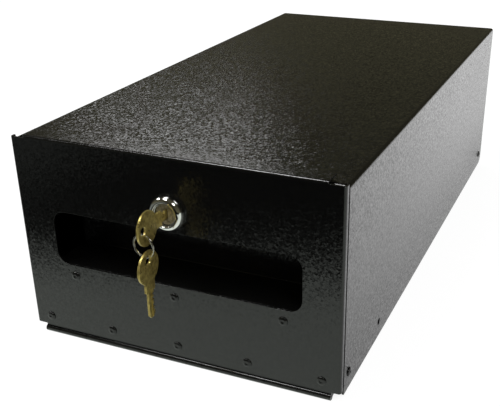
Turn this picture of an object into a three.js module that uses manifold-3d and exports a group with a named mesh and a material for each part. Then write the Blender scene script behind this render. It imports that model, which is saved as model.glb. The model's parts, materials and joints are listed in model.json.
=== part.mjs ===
// Under-desk drawer safe: a folded steel box with a drop-down slotted door on a continuous hinge.
// Millimetres, +X to the right of the door, +Y to the rear, +Z up.
// The pieces are drawn with the box's front edge at y = 0 and its lower edge at z = 0.
import * as THREE from "three";
import { mergeVertices } from "three/addons/utils/BufferGeometryUtils.js";
import Module from "manifold-3d";

const wasm = await Module();
wasm.setup();

// Box
const BODY_WIDTH = 250;
const BODY_HEIGHT = 154.3;
const BODY_DEPTH = 490;
const SHEET = 1.5; // steel of the box and the door
const BODY_BEND = 2.75; // outside radius of the cover's two long bends
const PAN_BEND = 2; // outside radius of the floor pan's bends
const CATCH_DROP = 13; // how far the cover's front edge turns down behind the door
const CATCH_RELIEF = 1; // gap between the turned edge and the sides
const SIDE_FLANGE = 22; // height of the floor pan's upturned sides
const REAR_CORNER = 9; // radius of the box's lower rear corner
const REAR_FLANGE = 14; // depth of the rear panel's turned top and sides
const REAR_LAP = 12; // rear panel over the floor pan
const SEAM = 0.1; // between sheets that lap and under rivet heads
const SIDE_ROW_HEIGHT = 13; // rivets and fixing holes in the sides
const FRONT_RIVET_SETBACK = 10;
const FIXING_HOLE_SETBACK = 80;
const REAR_RIVET_SETBACK = 14; // from the rear edge
const FIXING_HOLE = 5.5; // open screw hole in each side

// Door
const DOOR_SETOUT = 6.5; // door face in front of the box
const DOOR_FLANGE = 4.5; // depth of the door's turned sides, from its face
const DOOR_BEND = 2; // outside radius of the door's bends
const DOOR_BOTTOM = 4.3;
const LIP_CLEARANCE = 2.2; // under the door's top lip
const LIP_REACH = 9; // lip over the top panel, from the box's front edge
const LIP_INSET = 11.8; // corner notch at each end of the lip
const SLOT_INSET = 28.2; // from the door's sides
const SLOT_HEIGHT = 42;
const SLOT_BOTTOM = 61.4;
const SLOT_RADIUS = 10;
const BAFFLE_ROW_HEIGHT = 52.7; // rivets under the slot
const BAFFLE_ROW_INSET = 17.8; // end rivets from the baffle's ends
const BAFFLE_SHEET = 1.2;
const BAFFLE_OVERLAP = 4; // baffle past each end of the slot
const BAFFLE_FOOT = 5; // baffle below its rivets
const BAFFLE_DEPTH = 33; // back of the baffle, from the box's front edge
const BAFFLE_TOP = 94;
const BAFFLE_BEND = 2.2;

// Continuous hinge
const HINGE_INSET = 7; // from the box's sides
const LEAF = 1.2;
const BARREL = 5.2;
const PIN = 2.4;
const KNUCKLES = 19;
const KNUCKLE_GAP = 0.4;
const DOOR_LEAF_TOP = 20;
const FLOOR_LEAF_REAR = 16;
const HINGE_ROW_HEIGHT = 12.1; // rivets through the door's foot
const HINGE_ROW_INSET = 7; // end rivets from the hinge's ends
const FLOOR_ROW_SETBACK = 9; // rivets through the floor

// Blind rivets
const RIVET_HEAD = 7;
const RIVET_HEAD_HEIGHT = 1.2;
const RIVET_SHANK = 3.2;
const RIVET_BULB = 5;
const RIVET_BULB_LENGTH = 3.2;
const RIVET_CORE = 2; // dimple left by the broken stem
const RIVET_HOLE = 3.6;

// Cam lock
const LOCK_ABOVE_SLOT = 15; // from the slot's upper edge to the lock's axis
const LOCK_HEAD = 25.4;
const LOCK_HEAD_HEIGHT = 6;
const LOCK_MOUTH = 16; // opening in the chrome head
const LOCK_RECESS = 2.6; // plug face below the head's crown
const LOCK_BARREL = 19;
const LOCK_FLATS = 16;
const LOCK_LENGTH = 16; // barrel behind the head
const PLUG = 12;
const PLUG_COLLAR = 15;
const PLUG_COLLAR_DEPTH = 1.5;
const RUN = 0.3; // running clearance on a radius or a side
const NUT_FLATS = 24;
const NUT_HEIGHT = 3.5;
const CAM_SHEET = 1.8;
const CAM_WIDTH = 14;
const CAM_REACH = 30; // axis to tip
const CAM_KNEE = 11; // where the crank starts
const CAM_CRANK = 6; // length of the crank across
const CATCH_CLEARANCE = 0.8; // cam tip behind the turned edge
const TAIL_SQUARE = 7; // plug's end, in the cam's hole
const WASHER = 11;
const WASHER_SHEET = 1;
const SCREW = 4;
const SCREW_HEAD = 8;
const SCREW_HEAD_HEIGHT = 2.6;
const SCREW_LENGTH = 6.5;

// Keys
const KEY_SHEET = 1.6;
const BOW_LENGTH = 23.5; // along the key
const BOW_WIDTH = 24;
const BOW_HOLE = 6.2;
const BOW_HOLE_INSET = 6.4; // hole centre from the bow's end
const NECK_WIDTH = 11;
const NECK_LENGTH = 6;
const BLADE_WIDTH = 6.8;
const BLADE_LENGTH = 19.5;
const KEY_STANDOFF = 6; // key shoulder in front of the plug face
const BIT_DEPTHS = [1.4, 2.2, 0.9, 1.8, 1.2];
const BIT_START = 3; // first cut from the shoulder
const BIT_PITCH = 2.7;
const RING_DIAMETER = 16; // to the middle of the wire
const RING_WIRE = 1.1;
const SPARE_GAP = 0.4; // spare key clear of the inserted key's plane

// Facets
const BEND_STEPS = 4;
const SMALL_SIDES = 14;
const ROUND_SIDES = 32;

// Places that follow from the sizes above
const PAN_REAR = BODY_DEPTH - REAR_CORNER;
const DOOR_FACE = -DOOR_SETOUT;
const DOOR_INSIDE = DOOR_FACE + SHEET;
const LIP_TOP = BODY_HEIGHT + LIP_CLEARANCE + SHEET;
const DOOR_TOP = LIP_TOP - DOOR_BEND;
const SLOT_WIDTH = BODY_WIDTH - 2 * SLOT_INSET;
const SLOT_MIDDLE = SLOT_BOTTOM + SLOT_HEIGHT / 2;
const BAFFLE_WIDTH = SLOT_WIDTH + 2 * BAFFLE_OVERLAP;
const BAFFLE_ROW_PITCH = BAFFLE_WIDTH / 2 - BAFFLE_ROW_INSET;
const HINGE_LENGTH = BODY_WIDTH - 2 * HINGE_INSET;
const HINGE_ROW_PITCH = (HINGE_LENGTH / 2 - HINGE_ROW_INSET) / 2;
const HINGE_Y = DOOR_INSIDE + SEAM + LEAF / 2;
const HINGE_Z = -SEAM - LEAF / 2;
const LOCK_HEIGHT = SLOT_BOTTOM + SLOT_HEIGHT + LOCK_ABOVE_SLOT;
const PLUG_FACE = DOOR_FACE - SEAM - LOCK_HEAD_HEIGHT + LOCK_RECESS;
const BARREL_END = DOOR_FACE - SEAM + LOCK_LENGTH;
const CAM_FACE = BARREL_END + RUN;
const WASHER_SEAT = DOOR_FACE - CAM_FACE - CAM_SHEET - 2 * SEAM; // along the lock's axis, from the door face
const SCREW_SEAT = WASHER_SEAT - WASHER_SHEET - SEAM;
const SHOULDER = PLUG_FACE - KEY_STANDOFF;
const BOW_MIDDLE = SHOULDER - NECK_LENGTH - BOW_LENGTH / 2;
const BOW_END = BOW_MIDDLE - BOW_LENGTH / 2;
const RING_Y = BOW_END + BOW_HOLE_INSET;
const SPARE_OFFSET = KEY_SHEET + SPARE_GAP;
const WIRE_IN_HOLE = BOW_HOLE / 2 - RING_WIRE / 2 - RUN; // from a bow hole's middle to the wire's
const RING_MIDDLE = LOCK_HEIGHT - WIRE_IN_HOLE + ringSag(KEY_SHEET / 2) - RING_DIAMETER / 2;
const SPARE_HEIGHT = RING_MIDDLE - RING_DIAMETER / 2 + ringSag(SPARE_OFFSET + KEY_SHEET / 2) - WIRE_IN_HOLE;

// Finishes
const BLACK_COAT = { color: 0x161514, roughness: 0.45, metalness: 0.2 };
const BLACK_STEEL = { color: 0x1d1c1b, roughness: 0.4, metalness: 0.6 };
const ZINC = { color: 0xb9bab8, roughness: 0.35, metalness: 0.9 };
const CHROME = { color: 0xd8dadc, roughness: 0.08, metalness: 1 };
const BRASS = { color: 0xb08d3c, roughness: 0.3, metalness: 1 };

// Solids from closed geometry, and back
function solid(geometry) {
  const bare = geometry.clone();
  bare.deleteAttribute("normal");
  bare.deleteAttribute("uv");
  const merged = mergeVertices(bare, 1e-4);
  return new wasm.Manifold(
    new wasm.Mesh({
      numProp: 3,
      vertProperties: new Float32Array(merged.attributes.position.array),
      triVerts: new Uint32Array(merged.index.array),
    }),
  );
}

function geometryOf(shape) {
  const mesh = shape.getMesh();
  const geometry = new THREE.BufferGeometry();
  geometry.setAttribute("position", new THREE.BufferAttribute(mesh.vertProperties, 3));
  geometry.setIndex(new THREE.BufferAttribute(mesh.triVerts, 1));
  geometry.computeVertexNormals();
  return geometry;
}

const join = (first, ...rest) => rest.reduce((all, one) => all.add(one), first);
const cut = (first, ...rest) => rest.reduce((all, one) => all.subtract(one), first);

// Block between two corners
function block(x0, x1, y0, y1, z0, z1) {
  const box = new THREE.BoxGeometry(x1 - x0, y1 - y0, z1 - z0);
  box.translate((x0 + x1) / 2, (y0 + y1) / 2, (z0 + z1) / 2);
  return solid(box);
}

// Round bar along one axis, from one place to another on it
function bar(axis, diameter, from, to, across, sides = SMALL_SIDES) {
  const round = new THREE.CylinderGeometry(diameter / 2, diameter / 2, to - from, sides);
  if (axis === "x") round.rotateZ(-Math.PI / 2);
  if (axis === "z") round.rotateX(Math.PI / 2);
  const middle = (from + to) / 2;
  if (axis === "x") round.translate(middle, across[0], across[1]);
  if (axis === "y") round.translate(across[0], middle, across[1]);
  if (axis === "z") round.translate(across[0], across[1], middle);
  return solid(round);
}

// Extrusions: a shape in (y, z) along X, in (x, z) along Y, or in (x, y) along Z
const UNIT_X = new THREE.Vector3(1, 0, 0);
const UNIT_Y = new THREE.Vector3(0, 1, 0);
const UNIT_Z = new THREE.Vector3(0, 0, 1);

function extrude(shape, length, segments = 12) {
  return new THREE.ExtrudeGeometry(shape, {
    depth: length,
    steps: 1,
    bevelEnabled: false,
    curveSegments: segments,
  });
}

function alongX(shape, x0, x1) {
  const made = extrude(shape, x1 - x0);
  made.applyMatrix4(new THREE.Matrix4().makeBasis(UNIT_Y, UNIT_Z, UNIT_X));
  made.translate(x0, 0, 0);
  return solid(made);
}

function alongY(shape, y0, y1) {
  const made = extrude(shape, y1 - y0);
  made.applyMatrix4(new THREE.Matrix4().makeBasis(UNIT_X, UNIT_Z, UNIT_Y.clone().negate()));
  made.translate(0, y1, 0);
  return solid(made);
}

function alongZ(shape, z0, z1) {
  const made = extrude(shape, z1 - z0);
  made.translate(0, 0, z0);
  return solid(made);
}

// Section of a bent sheet about its middle line. A corner [u, v, radius] can have a bend of its own.
function bentSheet(corners, thickness, outsideRadius) {
  const points = corners.map(([u, v]) => new THREE.Vector2(u, v));
  const left = [];
  const right = [];
  const mark = (place, heading) => {
    const side = new THREE.Vector2(-heading.y, heading.x).multiplyScalar(thickness / 2);
    left.push(place.clone().add(side));
    right.push(place.clone().sub(side));
  };
  const last = points.length - 1;
  mark(points[0], points[1].clone().sub(points[0]).normalize());
  for (let i = 1; i < last; i++) {
    const before = points[i].clone().sub(points[i - 1]).normalize();
    const after = points[i + 1].clone().sub(points[i]).normalize();
    const turn = Math.atan2(before.cross(after), before.dot(after));
    const radius = (corners[i][2] ?? outsideRadius) - thickness / 2;
    const reach = radius * Math.tan(Math.abs(turn) / 2);
    const start = points[i].clone().addScaledVector(before, -reach);
    const inward = new THREE.Vector2(-before.y, before.x).multiplyScalar(Math.sign(turn) * radius);
    const centre = start.clone().add(inward);
    for (let step = 0; step <= BEND_STEPS; step++) {
      const angle = (turn * step) / BEND_STEPS;
      const origin = new THREE.Vector2();
      const spoke = inward.clone().negate().rotateAround(origin, angle);
      mark(centre.clone().add(spoke), before.clone().rotateAround(origin, angle));
    }
  }
  mark(points[last], points[last].clone().sub(points[last - 1]).normalize());
  return new THREE.Shape([...left, ...right.reverse()]);
}

function roundedRectangle(middleU, middleV, width, height, radius) {
  const shape = new THREE.Shape();
  const u = width / 2 - radius;
  const v = height / 2 - radius;
  shape.absarc(middleU + u, middleV - v, radius, -Math.PI / 2, 0);
  shape.absarc(middleU + u, middleV + v, radius, 0, Math.PI / 2);
  shape.absarc(middleU - u, middleV + v, radius, Math.PI / 2, Math.PI);
  shape.absarc(middleU - u, middleV - v, radius, Math.PI, Math.PI * 1.5);
  shape.closePath();
  return shape;
}

// Turned part: profile points are [radius, height], and the height runs along +Y
function turned(profile, sides) {
  const points = profile.map(([radius, height]) => new THREE.Vector2(radius, height));
  return solid(new THREE.LatheGeometry(points, sides));
}

// Evenly spaced places about the middle
const row = (count, pitch) => Array.from({ length: count }, (_, i) => (i - (count - 1) / 2) * pitch);

const baffleRow = row(3, BAFFLE_ROW_PITCH);
const hingeRow = row(5, HINGE_ROW_PITCH);
const sideRow = [FRONT_RIVET_SETBACK, BODY_DEPTH - REAR_RIVET_SETBACK];
const SIDES = [
  ["left", -1],
  ["right", 1],
];

// Holes through both sides of the box
function sideHoles(y, diameter) {
  const out = BODY_WIDTH / 2 + SHEET;
  return bar("x", diameter, -out, out, [y, SIDE_ROW_HEIGHT]);
}

// Top and sides in one folded sheet, its front edge turned down as the catch for the cam
function bodyCover() {
  const x = (BODY_WIDTH - SHEET) / 2;
  const z = BODY_HEIGHT - SHEET / 2;
  const shell = alongY(
    bentSheet([[x, 0], [x, z], [-x, z], [-x, 0]], SHEET, BODY_BEND),
    0,
    BODY_DEPTH,
  );
  const half = BODY_WIDTH / 2 - BODY_BEND;
  const front = block(-half, half, -SHEET, BODY_BEND, BODY_HEIGHT - SHEET * 2, BODY_HEIGHT + SHEET);
  const catchHalf = half - CATCH_RELIEF;
  const lip = alongX(
    bentSheet(
      [[BODY_BEND + SHEET, z], [SHEET / 2, z], [SHEET / 2, BODY_HEIGHT - CATCH_DROP]],
      SHEET,
      BODY_BEND,
    ),
    -catchHalf,
    catchHalf,
  );
  return cut(
    join(cut(shell, front), lip),
    rearCorner(),
    ...sideRow.map((y) => sideHoles(y, RIVET_HOLE)),
    sideHoles(FIXING_HOLE_SETBACK, FIXING_HOLE),
  );
}

// What the round lower rear corner takes off the sides
function rearCorner() {
  const rear = BODY_DEPTH + SHEET;
  const y = BODY_DEPTH - REAR_CORNER;
  const shape = new THREE.Shape();
  shape.absarc(y, REAR_CORNER, REAR_CORNER, -Math.PI / 2, 0);
  shape.lineTo(rear, REAR_CORNER);
  shape.lineTo(rear, -SHEET);
  shape.lineTo(y, -SHEET);
  shape.closePath();
  return alongX(shape, -BODY_WIDTH, BODY_WIDTH);
}

// Floor with its sides turned up inside the cover
function floorPan() {
  const x = BODY_WIDTH / 2 - SHEET - SEAM - SHEET / 2;
  const pan = alongY(
    bentSheet([[-x, SIDE_FLANGE], [-x, SHEET / 2], [x, SHEET / 2], [x, SIDE_FLANGE]], SHEET, PAN_BEND),
    0,
    PAN_REAR,
  );
  return cut(
    pan,
    ...sideRow.map((y) => sideHoles(y, RIVET_HOLE)),
    sideHoles(FIXING_HOLE_SETBACK, FIXING_HOLE),
    ...hingeRow.map((place) => bar("z", RIVET_HOLE, -SHEET, SHEET * 2, [place, FLOOR_ROW_SETBACK])),
  );
}

// Rear wall: its top and sides are turned forward, and its foot curves forward over the floor pan
function rearPanel() {
  const half = BODY_WIDTH / 2 - SHEET - SEAM;
  const high = BODY_HEIGHT - SHEET - SEAM;
  const front = BODY_DEPTH - REAR_FLANGE;
  const low = SHEET * 1.5 + SEAM;
  const y = BODY_DEPTH - SHEET / 2;
  const wall = alongX(
    bentSheet(
      [[PAN_REAR - REAR_LAP, low], [y, low, REAR_CORNER], [y, high - SHEET / 2], [front, high - SHEET / 2]],
      SHEET,
      PAN_BEND,
    ),
    -half,
    half,
  );
  const cheeks = SIDES.map(([, side]) =>
    sideBlock(side, half - SHEET, half, front, y, SIDE_FLANGE + SEAM, high - PAN_BEND),
  );
  const outer = BODY_WIDTH / 2;
  const bend = BODY_BEND - SHEET;
  const reliefs = SIDES.flatMap(([, side]) => [
    sideBlock(side, half - PAN_BEND, outer, 0, PAN_REAR + RUN, 0, SIDE_FLANGE),
    sideBlock(side, half - bend, outer, 0, BODY_DEPTH + SHEET, high - PAN_BEND, BODY_HEIGHT),
  ]);
  return cut(join(wall, ...cheeks), ...reliefs);
}

// Block on one side of the middle, between two distances from it
function sideBlock(side, near, far, y0, y1, z0, z1) {
  return side > 0 ? block(near, far, y0, y1, z0, z1) : block(-far, -near, y0, y1, z0, z1);
}

// Door face with turned sides, the lip over the top panel, and its openings
function doorPanel() {
  const x = (BODY_WIDTH - SHEET) / 2;
  const rear = DOOR_FACE + DOOR_FLANGE;
  const y = DOOR_FACE + SHEET / 2;
  const face = alongZ(
    bentSheet([[x, rear], [x, y], [-x, y], [-x, rear]], SHEET, DOOR_BEND),
    DOOR_BOTTOM,
    DOOR_TOP,
  );
  const z = LIP_TOP - SHEET / 2;
  const lipHalf = BODY_WIDTH / 2 - LIP_INSET;
  const lip = alongX(
    bentSheet([[y, LOCK_HEIGHT], [y, z], [LIP_REACH, z]], SHEET, DOOR_BEND),
    -lipHalf,
    lipHalf,
  );
  const slot = alongY(
    roundedRectangle(0, SLOT_MIDDLE, SLOT_WIDTH, SLOT_HEIGHT, SLOT_RADIUS),
    DOOR_FACE - SHEET,
    DOOR_INSIDE + SHEET,
  );
  return cut(
    join(face, lip),
    slot,
    lockHole(),
    ...baffleRow.map((place) => doorRivetHole(place, BAFFLE_ROW_HEIGHT)),
    ...hingeRow.map((place) => doorRivetHole(place, HINGE_ROW_HEIGHT)),
  );
}

function doorRivetHole(x, z) {
  return bar("y", RIVET_HOLE, DOOR_FACE - SHEET, BAFFLE_DEPTH, [x, z]);
}

// Round hole with two flats, which stop the lock turning
function lockHole() {
  const flats = LOCK_FLATS / 2 + SEAM;
  const round = bar(
    "y",
    LOCK_BARREL + 2 * SEAM,
    DOOR_FACE - SHEET,
    DOOR_INSIDE + SHEET,
    [0, LOCK_HEIGHT],
    ROUND_SIDES,
  );
  const band = block(
    -flats,
    flats,
    DOOR_FACE - SHEET,
    DOOR_INSIDE + SHEET,
    LOCK_HEIGHT - LOCK_BARREL,
    LOCK_HEIGHT + LOCK_BARREL,
  );
  return round.intersect(band);
}

// Guard behind the slot: a foot riveted to the door, a shelf and an upright
function slotBaffle() {
  const half = BAFFLE_WIDTH / 2;
  const y = DOOR_INSIDE + SEAM + BAFFLE_SHEET / 2;
  const shelf = SLOT_BOTTOM - BAFFLE_SHEET;
  const back = BAFFLE_DEPTH - BAFFLE_SHEET / 2;
  const section = bentSheet(
    [[y, BAFFLE_ROW_HEIGHT - BAFFLE_FOOT], [y, shelf], [back, shelf], [back, BAFFLE_TOP]],
    BAFFLE_SHEET,
    BAFFLE_BEND,
  );
  const holes = baffleRow.map((x) =>
    bar("y", RIVET_HOLE, DOOR_FACE, y + BAFFLE_SHEET, [x, BAFFLE_ROW_HEIGHT]),
  );
  return cut(alongX(section, -half, half), ...holes);
}

// One leaf of the continuous hinge: its plate, every other knuckle, and room for the other leaf's
function hingeLeaf(plate, firstKnuckle) {
  const pitch = HINGE_LENGTH / KNUCKLES;
  const room = BARREL / 2 + RUN;
  const axis = [HINGE_Y, HINGE_Z];
  let leaf = plate;
  row(KNUCKLES, pitch).forEach((middle, i) => {
    const half = pitch / 2;
    if (i % 2 === firstKnuckle) {
      const end = half - KNUCKLE_GAP / 2;
      leaf = leaf.add(bar("x", BARREL, middle - end, middle + end, axis));
    } else {
      const end = half + KNUCKLE_GAP / 2;
      leaf = leaf.subtract(
        block(middle - end, middle + end, HINGE_Y - room, HINGE_Y + room, HINGE_Z - room, HINGE_Z + room),
      );
    }
  });
  return leaf.subtract(bar("x", PIN + 2 * RUN, -HINGE_LENGTH, HINGE_LENGTH, axis));
}

function hingeDoorLeaf() {
  const half = HINGE_LENGTH / 2 - KNUCKLE_GAP / 2;
  const plate = block(-half, half, HINGE_Y - LEAF / 2, HINGE_Y + LEAF / 2, HINGE_Z, DOOR_LEAF_TOP);
  const holes = hingeRow.map((x) => doorRivetHole(x, HINGE_ROW_HEIGHT));
  return cut(hingeLeaf(plate, 1), ...holes);
}

function hingeFloorLeaf() {
  const half = HINGE_LENGTH / 2 - KNUCKLE_GAP / 2;
  const plate = block(-half, half, HINGE_Y, FLOOR_LEAF_REAR, HINGE_Z - LEAF / 2, HINGE_Z + LEAF / 2);
  const holes = hingeRow.map((x) => bar("z", RIVET_HOLE, HINGE_Z - LEAF, SHEET, [x, FLOOR_ROW_SETBACK]));
  return cut(hingeLeaf(plate, 0), ...holes);
}

function hingePin() {
  return bar("x", PIN, -HINGE_LENGTH / 2, HINGE_LENGTH / 2, [HINGE_Y, HINGE_Z]);
}

// Blind rivet: the head is above height 0 and the bulb is below the sheets that it grips
function rivet(grip) {
  const seat = SEAM;
  const dome = [];
  const steps = 3;
  for (let i = 0; i <= steps; i++) {
    const angle = (Math.PI / 2) * (i / steps);
    const inner = RIVET_CORE / 2 + 0.3;
    dome.push([
      inner + (RIVET_HEAD / 2 - inner) * Math.cos(angle),
      seat + RIVET_HEAD_HEIGHT * (0.2 + 0.8 * Math.sin(angle)),
    ]);
  }
  const back = -grip - SEAM;
  return turned(
    [
      [0, back - RIVET_BULB_LENGTH],
      [RIVET_BULB * 0.3, back - RIVET_BULB_LENGTH],
      [RIVET_BULB / 2, back - RIVET_BULB_LENGTH * 0.5],
      [RIVET_BULB / 2, back],
      [RIVET_SHANK / 2, back],
      [RIVET_SHANK / 2, seat],
      [RIVET_HEAD / 2, seat],
      ...dome,
      [RIVET_CORE / 2, seat + RIVET_HEAD_HEIGHT * 0.9],
      [RIVET_CORE / 2, seat + RIVET_HEAD_HEIGHT * 0.3],
      [0, seat + RIVET_HEAD_HEIGHT * 0.3],
    ],
    SMALL_SIDES,
  );
}

// Chrome head and threaded barrel in one casting, bored for the plug
function lockCylinder() {
  const crown = SEAM + LOCK_HEAD_HEIGHT;
  const mouth = LOCK_MOUTH / 2;
  const outer = LOCK_HEAD / 2;
  const ringMiddle = (outer + mouth) / 2;
  const ringHalf = (outer - mouth) / 2;
  const shoulder = SEAM + LOCK_HEAD_HEIGHT * 0.25;
  const floor = crown - LOCK_RECESS - PLUG_COLLAR_DEPTH - RUN;
  const profile = [
    [LOCK_BARREL / 2, SEAM - LOCK_LENGTH],
    [LOCK_BARREL / 2, SEAM],
    [outer, SEAM],
  ];
  const steps = 10;
  for (let i = 0; i <= steps; i++) {
    const angle = (Math.PI * i) / steps;
    const foot = i < steps / 2 ? shoulder : floor;
    profile.push([ringMiddle + ringHalf * Math.cos(angle), foot + (crown - foot) * Math.sin(angle)]);
  }
  const bore = PLUG / 2 + RUN;
  profile.push([bore, floor], [bore, SEAM - LOCK_LENGTH], profile[0]);
  const flats = LOCK_FLATS / 2;
  const trims = SIDES.map(([, side]) =>
    sideBlock(side, flats, LOCK_BARREL, -LOCK_LENGTH, 0, -LOCK_BARREL, LOCK_BARREL),
  );
  return cut(turned(profile, ROUND_SIDES), ...trims);
}

function lockNut() {
  const nut = new THREE.CylinderGeometry(NUT_FLATS / Math.sqrt(3), NUT_FLATS / Math.sqrt(3), NUT_HEIGHT, 6);
  const depth = SHEET + SEAM + NUT_HEIGHT / 2;
  nut.translate(0, -depth, 0);
  return cut(solid(nut), bar("y", LOCK_BARREL + 2 * SEAM, -LOCK_LENGTH, 0, [0, 0], ROUND_SIDES));
}

// Brass plug: its collar lies in the head's mouth, and its square end carries the cam
function lockPlug() {
  const face = DOOR_FACE - PLUG_FACE;
  const end = DOOR_FACE - BARREL_END;
  const half = TAIL_SQUARE / 2;
  const body = bar("y", PLUG, end, face, [0, 0], ROUND_SIDES);
  const collar = bar("y", PLUG_COLLAR, face - PLUG_COLLAR_DEPTH, face, [0, 0], ROUND_SIDES);
  const square = block(-half, half, WASHER_SEAT + SEAM, end + SHEET, -half, half);
  const slotWidth = KEY_SHEET / 2 + RUN;
  const slotHeight = BLADE_WIDTH / 2 + RUN;
  const bottom = face + KEY_STANDOFF - BLADE_LENGTH - RUN;
  const keyway = block(-slotWidth, slotWidth, bottom, face + SHEET, -slotHeight, slotHeight);
  const thread = bar("y", SCREW, WASHER_SEAT, SCREW_SEAT + SCREW_LENGTH + RUN, [0, 0]);
  return cut(join(body, collar, square), keyway, thread);
}

// Cranked cam, at rest to the left of the axis, with its tip close behind the turned edge when up
function lockCam() {
  const hub = CAM_WIDTH / 2;
  const near = DOOR_FACE - CAM_FACE - CAM_SHEET / 2;
  const tip = DOOR_FACE - SHEET - CATCH_CLEARANCE - CAM_SHEET / 2;
  const section = bentSheet(
    [[hub, near], [-CAM_KNEE, near], [-CAM_KNEE - CAM_CRANK, tip], [-CAM_REACH, tip]],
    CAM_SHEET,
    CAM_SHEET * 1.2,
  );
  const blank = alongZ(section, -hub, hub);
  const outline = new THREE.Shape();
  outline.absarc(0, 0, hub, -Math.PI / 2, Math.PI / 2);
  outline.absarc(-CAM_REACH + hub, 0, hub, Math.PI / 2, Math.PI * 1.5);
  outline.closePath();
  const trim = alongY(outline, near - CAM_SHEET, tip + CAM_SHEET);
  const hole = TAIL_SQUARE / 2 + SEAM;
  return cut(blank.intersect(trim), block(-hole, hole, near - CAM_SHEET, near + CAM_SHEET, -hole, hole));
}

function camWasher() {
  const disc = bar("y", WASHER, WASHER_SEAT - WASHER_SHEET, WASHER_SEAT, [0, 0]);
  return cut(disc, bar("y", SCREW + 2 * SEAM, WASHER_SEAT - WASHER, WASHER_SEAT + WASHER, [0, 0]));
}

function camScrew() {
  const seat = SCREW_SEAT;
  const end = seat - SCREW_HEAD_HEIGHT;
  const shank = SCREW / 2 - SEAM;
  const body = turned(
    [
      [0, end],
      [SCREW_HEAD * 0.3, end],
      [SCREW_HEAD * 0.45, seat - SCREW_HEAD_HEIGHT * 0.7],
      [SCREW_HEAD / 2, seat - SCREW_HEAD_HEIGHT * 0.3],
      [SCREW_HEAD / 2, seat],
      [shank, seat],
      [shank, seat + SCREW_LENGTH],
      [0, seat + SCREW_LENGTH],
    ],
    SMALL_SIDES,
  );
  const arm = SCREW_HEAD * 0.3;
  const web = SCREW_HEAD * 0.06;
  const floor = end + SCREW_HEAD_HEIGHT / 2;
  return cut(
    body,
    block(-arm, arm, end - SHEET, floor, -web, web),
    block(-web, web, end - SHEET, floor, -arm, arm),
  );
}

// Flat key in its own frame: the hole at the origin, the blade towards -Z, the sheet across X
function flatKey() {
  const half = KEY_SHEET / 2;
  const bowMiddle = BOW_HOLE_INSET - BOW_LENGTH / 2;
  const shoulder = BOW_HOLE_INSET - BOW_LENGTH - NECK_LENGTH;
  const tip = shoulder - BLADE_LENGTH;
  const bow = new THREE.Shape();
  bow.absellipse(0, bowMiddle, BOW_WIDTH / 2, BOW_LENGTH / 2, 0, Math.PI * 2);
  const hole = new THREE.Path();
  hole.absarc(0, 0, BOW_HOLE / 2, 0, Math.PI * 2, true);
  bow.holes.push(hole);
  const width = BLADE_WIDTH / 2;
  const point = BLADE_WIDTH * 0.3;
  const blade = new THREE.Shape([
    new THREE.Vector2(-width, shoulder + NECK_LENGTH / 2),
    new THREE.Vector2(-width, tip + point),
    new THREE.Vector2(-width + point, tip),
    new THREE.Vector2(width - point, tip),
    new THREE.Vector2(width, tip + point),
    new THREE.Vector2(width, shoulder + NECK_LENGTH / 2),
  ]);
  const neck = block(-half, half, -NECK_WIDTH / 2, NECK_WIDTH / 2, shoulder, bowMiddle);
  const bits = BIT_DEPTHS.map((depth, i) => {
    const middle = shoulder - BIT_START - i * BIT_PITCH;
    const spread = depth + BIT_PITCH * 0.2;
    const notch = new THREE.Shape([
      new THREE.Vector2(width - depth, middle - BIT_PITCH * 0.2),
      new THREE.Vector2(width + SHEET, middle - spread - SHEET),
      new THREE.Vector2(width + SHEET, middle + spread + SHEET),
      new THREE.Vector2(width - depth, middle + BIT_PITCH * 0.2),
    ]);
    return alongX(notch, -KEY_SHEET, KEY_SHEET);
  });
  const hollow = bar("x", BOW_HOLE, -KEY_SHEET, KEY_SHEET, [0, 0], 24);
  return cut(join(alongX(bow, -half, half), neck, alongX(blade, -half, half)), hollow, ...bits);
}

// How far the ring's round wire falls away from its crown at a distance to the side
function ringSag(across) {
  const radius = RING_DIAMETER / 2;
  return radius - Math.sqrt(radius ** 2 - across ** 2);
}

function keyRing() {
  const ring = new THREE.TorusGeometry(RING_DIAMETER / 2, RING_WIRE / 2, 8, ROUND_SIDES);
  ring.rotateX(Math.PI / 2);
  return solid(ring);
}

// Scene graph
const safe = new THREE.Group();

function place(parent, name, shape, finish, position = [0, 0, 0], rotation = [0, 0, 0]) {
  const mesh = new THREE.Mesh(geometryOf(shape), new THREE.MeshStandardMaterial(finish));
  mesh.name = name;
  mesh.position.set(...position);
  mesh.rotation.set(...rotation);
  parent.add(mesh);
  return mesh;
}

function group(parent) {
  const made = new THREE.Group();
  parent.add(made);
  return made;
}

// Box
const box = group(safe);
place(box, "body_cover", bodyCover(), BLACK_COAT);
place(box, "floor_pan", floorPan(), BLACK_COAT);
place(box, "rear_panel", rearPanel(), BLACK_COAT);
place(box, "hinge_floor_leaf", hingeFloorLeaf(), BLACK_STEEL);
place(box, "hinge_pin", hingePin(), ZINC);
const sideGrip = 2 * SHEET + SEAM;
for (const [name, side] of SIDES) {
  const turn = [0, 0, (-side * Math.PI) / 2];
  const x = (side * BODY_WIDTH) / 2;
  ["front", "rear"].forEach((end, i) => {
    const spot = [x, sideRow[i], SIDE_ROW_HEIGHT];
    place(box, `side_rivet_${name}_${end}`, rivet(sideGrip), BLACK_STEEL, spot, turn);
  });
}
hingeRow.forEach((x, i) => {
  const spot = [x, FLOOR_ROW_SETBACK, HINGE_Z - LEAF / 2];
  const grip = LEAF + SEAM + SHEET;
  place(box, `floor_rivet_${i + 1}`, rivet(grip), BLACK_STEEL, spot, [-Math.PI / 2, 0, 0]);
});

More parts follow.
